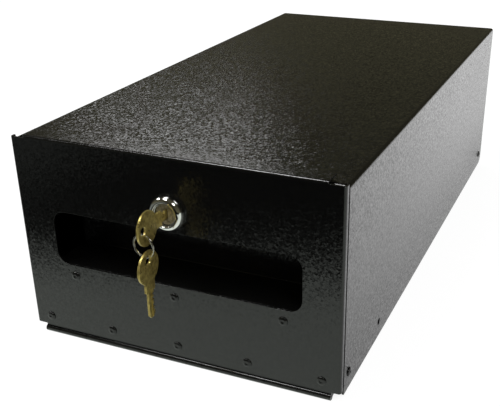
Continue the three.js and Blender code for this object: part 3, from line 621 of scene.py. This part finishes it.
def makeLeafTree(look):
    number, whole = "NodeSocketFloat", "NodeSocketInt"
    tree, start, end = newShapeTree("rolledLeaf", [
        ("Length", number, 0.236), ("Count", whole, 10), ("First", number, 0.0), ("Pitch", number, 0.0124),
        ("Gap", number, 0.0004), ("Leaf", number, 0.0012), ("Barrel", number, 0.0052), ("Bore", number, 0.0028),
        ("Seam", number, 0.45), ("Room", number, 0.0029), ("Reach", number, 0.02), ("Rivets", whole, 5),
        ("Rivet Pitch", number, 0.055), ("Rivet Height", number, 0.012), ("Rivet Hole", number, 0.0036),
        ("Finish", "NodeSocketMaterial", None),
    ])
    size = start.outputs
    upright = (math.radians(90), 0, 0)
    wide = calc(tree, "SUBTRACT", size["Pitch"], size["Gap"])
    # the roll goes round the pin from one side of the leaf to the other and leaves an open seam
    wall = calc(tree, "DIVIDE", calc(tree, "SUBTRACT", size["Barrel"], size["Bore"]), 2.0)
    middle = calc(tree, "DIVIDE", calc(tree, "ADD", size["Barrel"], size["Bore"]), 4.0)
    sweep = calc(tree, "SUBTRACT", math.tau, size["Seam"])
    inputs = {"Resolution": look["rollSteps"], "Radius": middle, "Start Angle": 0.0, "Sweep Angle": sweep}
    arc = addNode(tree, "GeometryNodeCurveArc", {"mode": "RADIUS"}, inputs).outputs["Curve"]
    inputs = {"Width": wall, "Height": wide}
    section = addNode(tree, "GeometryNodeCurvePrimitiveQuadrilateral", {"mode": "RECTANGLE"}, inputs).outputs[0]
    inputs = {"Curve": arc, "Profile Curve": section, "Fill Caps": True}
    roll = addNode(tree, "GeometryNodeCurveToMesh", None, inputs).outputs[0]
    roll = moved(tree, roll, Rotation=(math.radians(90), 0, math.radians(90)))
    # a tab joins each roll to the leaf
    tabLength = calc(tree, "SUBTRACT", size["Room"], calc(tree, "MULTIPLY", middle, look["tabFrom"]))
    tabMiddle = calc(tree, "SUBTRACT", size["Room"], calc(tree, "DIVIDE", tabLength, 2.0))
    tabSize = vectorOf(tree, wide, size["Leaf"], calc(tree, "ADD", tabLength, look["overlap"] * mm))
    tab = addNode(tree, "GeometryNodeMeshCube", None, {"Size": tabSize}).outputs["Mesh"]
    tab = moved(tree, tab, Translation=vectorOf(tree, z=tabMiddle))
    inputs = {
        "Count": size["Count"], "Start Location": vectorOf(tree, size["First"]),
        "Offset": vectorOf(tree, calc(tree, "MULTIPLY", size["Pitch"], 2.0)),
    }
    places = addNode(tree, "GeometryNodeMeshLine", {"mode": "OFFSET"}, inputs).outputs[0]
    inputs = {"Points": places, "Instance": joinShapes(tree, roll, tab)}
    knuckles = addNode(tree, "GeometryNodeInstanceOnPoints", None, inputs).outputs[0]
    # the flat leaf, with a row of rivet holes
    flat = calc(tree, "SUBTRACT", size["Reach"], size["Room"])
    plateSize = vectorOf(tree, calc(tree, "SUBTRACT", size["Length"], size["Gap"]), size["Leaf"], flat)
    plate = addNode(tree, "GeometryNodeMeshCube", None, {"Size": plateSize}).outputs["Mesh"]
    plateMiddle = calc(tree, "ADD", size["Room"], calc(tree, "DIVIDE", flat, 2.0))
    plate = moved(tree, plate, Translation=vectorOf(tree, z=plateMiddle))
    inputs = {
        "Vertices": look["holeSides"], "Radius": calc(tree, "DIVIDE", size["Rivet Hole"], 2.0),
        "Depth": calc(tree, "MULTIPLY", size["Leaf"], 3.0),
    }
    drill = addNode(tree, "GeometryNodeMeshCylinder", None, inputs).outputs["Mesh"]
    drill = moved(tree, drill, Rotation=upright)
    spread = calc(tree, "DIVIDE", calc(tree, "SUBTRACT", 1.0, size["Rivets"]), 2.0)
    rowStart = calc(tree, "MULTIPLY", size["Rivet Pitch"], spread)
    inputs = {
        "Count": size["Rivets"], "Start Location": vectorOf(tree, rowStart, 0.0, size["Rivet Height"]),
        "Offset": vectorOf(tree, size["Rivet Pitch"]),
    }
    rowPlaces = addNode(tree, "GeometryNodeMeshLine", {"mode": "OFFSET"}, inputs).outputs[0]
    inputs = {"Points": rowPlaces, "Instance": drill}
    drills = addNode(tree, "GeometryNodeInstanceOnPoints", None, inputs).outputs[0]
    drills = addNode(tree, "GeometryNodeRealizeInstances", None, {"Geometry": drills}).outputs[0]
    settings = {"operation": "DIFFERENCE", "solver": "EXACT"}
    inputs = {"Mesh 1": plate, "Mesh 2": drills}
    cut = addNode(tree, "GeometryNodeMeshBoolean", settings, inputs).outputs["Mesh"]
    endTree(tree, joinShapes(tree, knuckles, cut), start, end)
    return tree


leafTree = makeLeafTree(hingeLook)
pinMiddle = middleOf("hinge_pin")
pinLow, pinHigh = boxOf("hinge_pin")
hingeLength = pinHigh.x - pinLow.x


def addLeaf(name, node, first, reach, rivetHeight, turn):
    look = hingeLook
    pitch = hingeLength / look["knuckles"]
    count = (look["knuckles"] + 1 - first) // 2
    rivetPitch = (hingeLength / 2 - look["rivetInset"] * mm) / (look["rivets"] // 2)
    made = grow(name, meshFrom(name + "Base", lambda bm: None), leafTree, {
        "Length": hingeLength, "Count": count, "First": pitch * (first + 0.5) - hingeLength / 2, "Pitch": pitch,
        "Gap": look["gap"] * mm, "Leaf": look["leaf"] * mm, "Barrel": look["barrel"] * mm,
        "Bore": look["bore"] * mm, "Seam": math.radians(look["seam"]), "Room": look["room"] * mm,
        "Reach": reach, "Rivets": look["rivets"], "Rivet Pitch": rivetPitch, "Rivet Height": rivetHeight,
        "Rivet Hole": look["rivetHole"] * mm, "Finish": blackSteel,
    }, look["smooth"])
    made.data.transform(Matrix.Translation(pinMiddle) @ Matrix.Rotation(math.radians(turn), 4, "X"))
    standFor(made, node)


doorRow = middleOf("hinge_rivet_1").z - pinMiddle.z
floorRow = middleOf("floor_rivet_1").y - pinMiddle.y
addLeaf("door_leaf", "hinge_door_leaf", 1, boxOf("hinge_door_leaf")[1].z - pinMiddle.z, doorRow, 0)
addLeaf("floor_leaf", "hinge_floor_leaf", 0, boxOf("hinge_floor_leaf")[1].y - pinMiddle.y, floorRow, -90)
print("hinge leaves rolled")


# Turned pieces: rings of (radius, height) about an axis; each radius may change with the angle
def turnedMesh(name, outline, sides, closed, shape=None):
    shape = shape or (lambda radius, height, angle: (radius * math.cos(angle), radius * math.sin(angle)))

    def build(bm):
        rings = []
        for radius, height in outline:
            ring = []
            for i in range(sides):
                x, z = shape(radius, height, math.tau * i / sides)
                ring.append(bm.verts.new((x, -height, z)))
            rings.append(ring)
        pairs = list(zip(rings, rings[1:]))
        if closed:
            pairs.append((rings[-1], rings[0]))
        for one, two in pairs:
            for i in range(sides):
                j = (i + 1) % sides
                bm.faces.new((one[i], one[j], two[j], two[i]))
        bmesh.ops.remove_doubles(bm, verts=bm.verts, dist=mergeWithin["turned"] * mm)
        bmesh.ops.recalc_face_normals(bm, faces=bm.faces)

    return meshFrom(name, build)


# Chrome lock head on a threaded barrel with two flats; the rounds are steps (in, down) of their edges
lockLook = {
    "head": 25.4, "height": 6.1, "seam": 0.1, "edge": 1.3, "rim": 17.8, "mouth": 17.0, "ledge": 15.9,
    "ledgeDepth": 1.7, "floorDepth": 4.4, "barrel": 19.0, "flats": 16.0, "length": 15.9, "bore": 12.6,
    "thread": 1.0, "threadDepth": 0.45, "threadInset": 0.4, "threadSteps": 6, "chamfer": 0.25, "dome": 0.9,
    "rimRound": (0.12, 0.03), "mouthRound": (0.1, 0.2, 0.5), "ledgeRound": 0.15,
    "sides": 96, "steps": 14, "smooth": 42,
}


def lockOutline(look):
    outer, rim, barrel, bore = (look[key] / 2 for key in ("head", "rim", "barrel", "bore"))
    crown, base, edge, end = look["height"], look["seam"], look["edge"], -look["length"]
    root = barrel - look["threadDepth"]
    points = [(bore, end), (root, end)]
    turns = int(look["length"] / look["thread"] * look["threadSteps"])
    threaded = look["length"] - 2 * look["threadInset"]
    points += [(barrel, end + look["threadInset"] + threaded * i / turns) for i in range(turns + 1)]
    points += [(root, base), (outer - look["chamfer"], base), (outer, base + look["chamfer"])]
    for i in range(look["steps"] + 1):
        angle = math.pi / 2 * i / look["steps"]
        radius = rim + (outer - rim) * math.cos(angle) ** look["dome"]
        points.append((radius, base + edge + (crown - base - edge) * math.sin(angle)))
    mouth, ledge, step = look["mouth"] / 2, look["ledge"] / 2, crown - look["ledgeDepth"]
    inward, down = look["rimRound"]
    aside, nearDown, farDown = look["mouthRound"]
    points += [(rim - inward, crown - down), (mouth + aside, crown - nearDown), (mouth, crown - farDown)]
    points += [(mouth, step), (ledge + look["ledgeRound"], step), (ledge, step - look["ledgeRound"])]
    points += [(ledge, crown - look["floorDepth"]), (bore, crown - look["floorDepth"])]
    return [(radius * mm, height * mm) for radius, height in points]


def lockShape(look):
    flat, full = look["flats"] / 2 * mm, look["barrel"] / 2 * mm

    def shape(radius, height, angle):
        # the thread winds along the points at the barrel's full radius
        if height < 0 and abs(radius - full) < 0.01 * mm:
            turn = (height / (look["thread"] * mm) - angle / math.tau) % 1
            radius = full - look["threadDepth"] * mm * abs(2 * turn - 1)
        x, z = radius * math.cos(angle), radius * math.sin(angle)
        if height < look["seam"] * mm and radius > flat:
            x = max(-flat, min(flat, x))
        return x, z

    return shape


def addLockHead(look):
    mesh = turnedMesh("lockHead", lockOutline(look), look["sides"], True, lockShape(look))
    mesh.transform(Matrix.Translation(lockSpot))
    smoothBy(mesh, look["smooth"])
    standFor(newObject("lock_head", mesh, metals["chromePlate"]), "lock_cylinder")


addLockHead(lockLook)


def cutAway(made, *cutters):
    for cutter in cutters:
        cutting = made.modifiers.new("cut", "BOOLEAN")
        cutting.operation = "DIFFERENCE"
        cutting.solver = "EXACT"
        cutting.object = cutter
    settle(made)
    for cutter in cutters:
        bpy.data.objects.remove(cutter)


def blockMesh(name, low, high):
    def build(bm):
        bmesh.ops.create_cube(bm, size=1)
        for vert in bm.verts:
            vert.co = Vector([(low[k] + high[k]) / 2 + vert.co[k] * (high[k] - low[k]) for k in range(3)])
    return meshFrom(name, build)


# Brass plug: the CAD plug with a ring turned in its face and a milled entry round the keyway
plugLook = {
    "ring": (5.2, 5.7), "ringDepth": 0.6, "entryWide": 3.2, "entryTall": 8.8, "entryDepth": 0.9, "edge": 0.15,
    "clear": 1, "sides": 64,
}


def addPlug(look):
    made = newObject("plug_face", copyOf("lock_plug", "plugFace"), metals["plugBrass"])
    face = doorFace - boxOf("lock_plug")[0].y
    near, far = [radius * mm for radius in look["ring"]]
    bottom, above = face - look["ringDepth"] * mm, face + look["clear"] * mm
    outline = [(near, bottom), (far, bottom), (far, above), (near, above)]
    groove = turnedMesh("ringCutter", outline, look["sides"], True)
    groove.transform(Matrix.Translation(lockSpot))
    half, tall = look["entryWide"] / 2 * mm, look["entryTall"] / 2 * mm
    low = lockSpot + Vector((-half, -above, -tall))
    high = lockSpot + Vector((half, look["entryDepth"] * mm - face, tall))
    entry = blockMesh("entryCutter", low, high)
    cutAway(made, newObject("ringCutter", groove), newObject("entryCutter", entry))
    roundEdges(made, look["edge"])
    standFor(made, "lock_plug")


addPlug(plugLook)

# Hinge pin with rounded ends
pinLook = {"flat": 0.7, "round": 0.3, "sides": 24, "smooth": 40}  # flat is a share of the radius


def addPin(look):
    radius, half, step = (pinHigh.z - pinLow.z) / 2, hingeLength / 2, look["round"] * mm
    small = radius * look["flat"]
    outline = [(0, -half), (small, -half), (radius, -half + step)]
    outline += [(radius, half - step), (small, half), (0, half)]
    mesh = turnedMesh("hingePin", outline, look["sides"], False)
    mesh.transform(Matrix.Translation(pinMiddle) @ Matrix.Rotation(math.radians(90), 4, "Z"))
    smoothBy(mesh, look["smooth"])
    standFor(newObject("pin", mesh, blackSteel), "hinge_pin")


addPin(pinLook)
print("lock and pin turned")

# Flat keys, stamped from sheet: an oval bow, a neck, and a cut blade with a milled groove on each side.
# tip is a share of the blade's width, bitFlat and bitSpread are shares of the bits' pitch
keyLook = {
    "sheet": 1.6, "edge": 0.28, "bowLength": 23.5, "bowWidth": 24.0, "hole": 6.2, "holeInset": 6.4,
    "neckWidth": 11.0, "neckLength": 6.0, "neckCut": 0.8, "slope": 0.06,
    "bladeWidth": 6.8, "bladeLength": 19.5, "tip": 0.3, "bits": (1.4, 2.2, 0.9, 1.8, 1.2),
    "bitStart": 3.0, "bitPitch": 2.7, "bitFlat": 0.2, "bitSpread": 0.46,
    "groove": 1.3, "grooveDepth": 0.4, "grooveApart": 0.7, "grooveAside": 0.6, "grooveRun": 1.5,
    "cutterPast": 1, "cutterHigh": 3, "bowSteps": 56, "holeSides": 32, "smooth": 40,
}


# Where the blade begins and ends along v
def bladeEnds(look):
    shoulder = look["holeInset"] - look["bowLength"] - look["neckLength"]
    return shoulder, shoulder - look["bladeLength"]


# Outline in the key's own plane, the hole's middle at (0, 0) and the blade towards -v
def keyOutline(look):
    halfBow, halfLong = look["bowWidth"] / 2, look["bowLength"] / 2
    bowMiddle = look["holeInset"] - halfLong
    shoulder, tip = bladeEnds(look)
    neck, blade, cut = look["neckWidth"] / 2, look["bladeWidth"] / 2, look["neckCut"]
    lower = shoulder - look["slope"]
    start = math.asin(neck / halfBow)
    points = []
    for i in range(look["bowSteps"] + 1):
        angle = start + (math.tau - 2 * start) * i / look["bowSteps"]
        points.append((halfBow * math.sin(angle), bowMiddle - halfLong * math.cos(angle)))
    points += [(-neck, shoulder + cut), (-neck + cut, shoulder), (-blade, lower)]
    point = look["bladeWidth"] * look["tip"]
    points += [(-blade, tip + point), (-blade + point, tip), (blade - point, tip), (blade, tip + point)]
    for i in reversed(range(len(look["bits"]))):
        depth = look["bits"][i]
        middle = shoulder - look["bitStart"] - i * look["bitPitch"]
        flat = look["bitPitch"] * look["bitFlat"]
        spread = min(flat + depth, look["bitPitch"] * look["bitSpread"])
        points += [(blade, middle - spread), (blade - depth, middle - flat)]
        points += [(blade - depth, middle + flat), (blade, middle + spread)]
    points += [(blade, lower), (neck - cut, shoulder), (neck, shoulder + cut)]
    return points


def circle(radius, sides):
    turns = [math.tau * i / sides for i in range(sides)]
    return [(radius * math.cos(turn), radius * math.sin(turn)) for turn in turns]


# Sheet piece with rounded edges from flat loops, the thickness about its middle
def stampedMesh(name, loops, thickness, edge):
    curve = bpy.data.curves.new(name, "CURVE")
    curve.dimensions = "2D"
    curve.fill_mode = "BOTH"
    curve.extrude = (thickness / 2 - edge) * mm
    curve.bevel_depth = edge * mm
    curve.bevel_resolution = 2
    curve.offset = -edge * mm
    for loop in loops:
        spline = curve.splines.new("POLY")
        spline.points.add(len(loop) - 1)
        for point, (u, v) in zip(spline.points, loop):
            point.co = (u * mm, v * mm, 0, 1)
        spline.use_cyclic_u = True
    holder = newObject(name + "Blank", curve)
    mesh = bpy.data.meshes.new_from_object(holder.evaluated_get(bpy.context.evaluated_depsgraph_get()))
    bpy.data.objects.remove(holder)
    bm = bmesh.new()
    bm.from_mesh(mesh)
    bmesh.ops.remove_doubles(bm, verts=bm.verts, dist=mergeWithin["stamped"] * mm)
    bmesh.ops.recalc_face_normals(bm, faces=bm.faces)
    bm.to_mesh(mesh)
    bm.free()
    return mesh


def keyMesh(name, look):
    loops = [keyOutline(look), circle(look["hole"] / 2, look["holeSides"])]
    key = newObject(name + "Blank", stampedMesh(name, loops, look["sheet"], look["edge"]))
    shoulder, tip = bladeEnds(look)
    half, depth = look["groove"] / 2, look["sheet"] / 2 - look["grooveDepth"]
    cutters = []
    for side in (-1, 1):
        middle = side * look["grooveApart"] - look["grooveAside"]
        faces = sorted((side * depth, side * look["cutterHigh"]))
        low = Vector((middle - half, tip - look["cutterPast"], faces[0])) * mm
        high = Vector((middle + half, shoulder + look["grooveRun"], faces[1])) * mm
        cutters.append(newObject("millingCutter", blockMesh("millingCutter", low, high)))
    cutAway(key, *cutters)
    mesh = key.data
    bpy.data.objects.remove(key)
    smoothBy(mesh, look["smooth"])
    return mesh


def addKey(name, node, turn):
    mesh = keyMesh(name + "Mesh", keyLook)
    low, high = boxOf(node)
    # the key's plane is across X: u runs along +Y and v along +Z before the turn
    stand = Matrix(((0, 0, 1, 0), (1, 0, 0, 0), (0, 1, 0, 0), (0, 0, 0, 1)))
    mesh.transform(Matrix.Rotation(math.radians(turn), 4, "X") @ stand)
    spots = [vert.co for vert in mesh.vertices]
    own = Vector([min(spot[k] for spot in spots) for k in range(3)])
    top = Vector([max(spot[k] for spot in spots) for k in range(3)])
    mesh.transform(Matrix.Translation((low + high) / 2 - (own + top) / 2))
    standFor(newObject(name, mesh, metals["keyBrass"]), node)


addKey("key_in_lock", "key", 90)
addKey("key_on_ring", "spare_key", 0)
print("keys cut")

# Split ring: flat wire wound twice, with the step between its turns
ringLook = {
    "diameter": 16.0, "wire": 1.0, "turn": 0.46, "step": 0.5, "askew": -9.0, "ends": 200.0,
    "windings": 2.0, "steps": 64, "stepAt": (0.44, 0.56), "round": 0.35, "roundSteps": 3, "smooth": 50,
}


def makeRingTree(look):
    number = "NodeSocketFloat"
    tree, start, end = newShapeTree("splitRing", [
        ("Radius", number, 0.008), ("Wire", number, 0.001), ("Turn", number, 0.0005), ("Step", number, 0.0005),
        ("Finish", "NodeSocketMaterial", None),
    ])
    size = start.outputs
    inputs = {
        "Resolution": look["steps"], "Rotations": look["windings"], "Start Radius": size["Radius"],
        "End Radius": size["Radius"], "Height": 0.0,
    }
    coil = addNode(tree, "GeometryNodeCurveSpiral", None, inputs).outputs["Curve"]
    share = addNode(tree, "GeometryNodeSplineParameter").outputs["Factor"]
    half = calc(tree, "DIVIDE", size["Step"], 2.0)
    aside = mapRange(tree, share, *look["stepAt"], calc(tree, "MULTIPLY", half, -1.0), half, smooth=True)
    inputs = {"Geometry": coil, "Offset": vectorOf(tree, z=aside)}
    coil = addNode(tree, "GeometryNodeSetPosition", None, inputs).outputs[0]
    inputs = {"Width": size["Wire"], "Height": size["Turn"]}
    flat = addNode(tree, "GeometryNodeCurvePrimitiveQuadrilateral", {"mode": "RECTANGLE"}, inputs).outputs[0]
    radius = calc(tree, "MULTIPLY", size["Turn"], look["round"])
    inputs = {"Curve": flat, "Radius": radius, "Count": look["roundSteps"]}
    flat = addNode(tree, "GeometryNodeFilletCurve", {"mode": "POLY"}, inputs).outputs[0]
    inputs = {"Curve": coil, "Profile Curve": flat, "Fill Caps": True}
    endTree(tree, addNode(tree, "GeometryNodeCurveToMesh", None, inputs).outputs[0], start, end)
    return tree


def addRing(look):
    made = grow("split_ring", meshFrom("splitRingBase", lambda bm: None), makeRingTree(look), {
        "Radius": look["diameter"] / 2 * mm, "Wire": look["wire"] * mm, "Turn": look["turn"] * mm,
        "Step": look["step"] * mm, "Finish": metals["springSteel"],
    }, look["smooth"])
    # upright, its ends low on the left, and a little askew in the bow's hole
    turn = Matrix.Rotation(math.radians(look["askew"]), 4, "Z") @ Matrix.Rotation(math.radians(90), 4, "X")
    turn = turn @ Matrix.Rotation(math.radians(look["ends"]), 4, "Z")
    made.data.transform(Matrix.Translation(middleOf("key_ring")) @ turn)
    standFor(made, "key_ring")


addRing(ringLook)
print("ring wound")

# Stage: a pale floor, seen white, that a coat mirrors near the safe and less further in front; in the gloss the
# floor is an emission with painted light and shade; in metres
stageLook = {
    "seen": 0.90, "shaded": 0.16, "lit": 0.75, "near": 0.095, "far": 0.19, "slant": 0.25, "slantFrom": 0.05,
    "beyond": 0.003, "left": (-0.42, -0.24), "leftShare": 0.19, "right": (0.13, 0.17), "rightShare": 0.8,
    "rightReach": 0.6, "rightFade": 0.1, "beside": 0.66, "besideWide": 0.07, "ahead": (0.97, 0.95),
    "behind": 1.4, "behindReach": 1.6, "frontTint": (0.93, 1.0, 0.92), "backTint": (1, 1, 1),
    "wide": (-9, 9), "long": (-9, 14),
}


def makeFloorMaterial(look):
    material = bpy.data.materials.new("paleFloor")
    material.use_nodes = True
    tree = material.node_tree
    tree.nodes.clear()
    out = tree.nodes.new("ShaderNodeOutputMaterial")
    path = tree.nodes.new("ShaderNodeLightPath").outputs
    diffuse = addNode(tree, "ShaderNodeBsdfDiffuse", None, {"Color": (look["lit"],) * 3 + (1,)}).outputs[0]
    shade = addNode(tree, "ShaderNodeBsdfDiffuse", None, {"Color": (look["shaded"],) * 3 + (1,)}).outputs[0]
    glow = addNode(tree, "ShaderNodeEmission", None, {"Strength": look["seen"]}).outputs[0]
    seen = addNode(tree, "ShaderNodeAddShader", None, {0: shade, 1: glow}).outputs[0]
    where = tree.nodes.new("ShaderNodeTexCoord").outputs["Object"]
    place = addNode(tree, "ShaderNodeSeparateXYZ", None, {0: where}).outputs
    # the pale part reaches further out on the right
    across = calc(tree, "ADD", place["X"], look["slantFrom"])
    slanted = calc(tree, "MULTIPLY_ADD", across, look["slant"], place["Y"])
    # painted shade: further in front of the door the mirrored floor fades dark
    far, near = doorFace - look["far"], doorFace - look["near"]
    front = mapRange(tree, slanted, far, near, look["beyond"], 1.0, smooth=True)
    left = mapRange(tree, place["X"], *look["left"], look["leftShare"], 0.0, smooth=True)
    right = mapRange(tree, place["X"], *look["right"], 0.0, look["rightShare"], smooth=True)
    reach = doorFace - look["rightReach"]
    faded = mapRange(tree, place["Y"], reach, reach + look["rightFade"], 0.0, 1.0, smooth=True)
    right = calc(tree, "MULTIPLY", right, faded)
    pale = calc(tree, "MAXIMUM", calc(tree, "MAXIMUM", front, left), right)
    # darker close beside the safe, where its shadow lies, and lighter behind it
    away = calc(tree, "ABSOLUTE", place["X"])
    edge = coverHigh.x + look["besideWide"]
    beside = mapRange(tree, away, coverHigh.x, edge, look["beside"], 1.0, smooth=True)
    back = mapRange(tree, place["Y"], doorFace, frontEdge, 0.0, 1.0)
    beside = mapRange(tree, back, 0.0, 1.0, 1.0, beside)
    ahead = mapRange(tree, back, 0.0, 1.0, *look["ahead"])
    rear = coverHigh.y * look["behindReach"]
    behind = mapRange(tree, place["Y"], frontEdge, rear, ahead, look["behind"])
    strength = calc(tree, "MULTIPLY", pale, calc(tree, "MULTIPLY", beside, behind))
    tint = blendColours(tree, back, look["frontTint"], look["backTint"])
    # the floor as glossy rays see it: a painted reflection, glowing in this pattern of painted light and shade
    paintedReflection = addNode(tree, "ShaderNodeEmission", None, {"Color": tint, "Strength": strength}).outputs[0]
    inputs = {0: path["Is Camera Ray"], 1: diffuse, 2: seen}
    plain = addNode(tree, "ShaderNodeMixShader", None, inputs).outputs[0]
    shiny = calc(tree, "MAXIMUM", path["Is Glossy Ray"], path["Is Transmission Ray"])
    whole = addNode(tree, "ShaderNodeMixShader", None, {0: shiny, 1: plain, 2: paintedReflection}).outputs[0]
    feed(tree, whole, out.inputs[0])
    return material


def addFloor(look):
    left, right = look["wide"]
    near, far = look["long"]

    def build(bm):
        corners = ((left, near), (right, near), (right, far), (left, far))
        bm.faces.new([bm.verts.new((x, y, 0)) for x, y in corners])
    newObject("paleFloor", meshFrom("paleFloor", build), makeFloorMaterial(stageLook))


addFloor(stageLook)

# World: white where the camera sees it, a dim warm room in the gloss, and an even light otherwise
worldLook = {
    "white": (1, 1, 1), "even": (0.55, 0.55, 0.55),
    "roomLow": (0.115, 0.108, 0.065), "roomHigh": (0.06, 0.055, 0.036), "heights": (0.05, 0.5),
    "roomFront": (0.024, 0.021, 0.014), "front": (-0.96, -0.8),
}


def makeWorld(look):
    world = bpy.data.worlds.new("softRoom")
    bpy.context.scene.world = world
    world.use_nodes = True
    tree = world.node_tree
    tree.nodes.clear()
    out = tree.nodes.new("ShaderNodeOutputWorld")
    path = tree.nodes.new("ShaderNodeLightPath").outputs
    where = tree.nodes.new("ShaderNodeTexCoord").outputs["Generated"]
    way = addNode(tree, "ShaderNodeSeparateXYZ", None, {0: where}).outputs
    up = mapRange(tree, way["Z"], *look["heights"], 0.0, 1.0)
    room = blendColours(tree, up, look["roomLow"], look["roomHigh"])
    ahead = mapRange(tree, way["Y"], *look["front"], 1.0, 0.0, smooth=True)
    room = blendColours(tree, ahead, room, look["roomFront"])
    colour = blendColours(tree, path["Is Glossy Ray"], look["even"], room)
    colour = blendColours(tree, path["Is Camera Ray"], colour, look["white"])
    light = addNode(tree, "ShaderNodeBackground", None, {"Color": colour, "Strength": 1.0})
    feed(tree, light.outputs[0], out.inputs[0])


makeWorld(worldLook)

# Places and sizes in metres
lamps = {
    "ceilingLeft": {"at": (-2.2, -0.4, 1.6), "aim": (0, -0.1, 0.1), "size": (0.45, 0.45), "watts": 22},
    "ceilingMiddle": {"at": (-0.68, -0.75, 1.9), "aim": (0, -0.1, 0.1), "size": (0.6, 0.6), "watts": 22},
    "ceilingRight": {"at": (1.1, -1.2, 1.8), "aim": (0, -0.1, 0.1), "size": (0.45, 0.45), "watts": 18},
    "rearSoftbox": {"at": (-0.81, 1.11, 0.96), "aim": (-0.02, -0.1, 0.15), "size": (0.5, 0.3), "watts": 1.25},
}


def addLamp(name, look):
    data = bpy.data.lights.new(name, "AREA")
    data.shape = "RECTANGLE"
    data.size, data.size_y = look["size"]
    data.energy = look["watts"]
    lamp = bpy.data.objects.new(name, data)
    spot = Vector(look["at"])
    lamp.location = spot
    lamp.rotation_euler = (Vector(look["aim"]) - spot).to_track_quat("-Z", "Y").to_euler()
    bpy.context.scene.collection.objects.link(lamp)


for lampName, lampLook in lamps.items():
    addLamp(lampName, lampLook)

bpy.context.scene.view_settings.view_transform = "Standard"
print("stage ready")
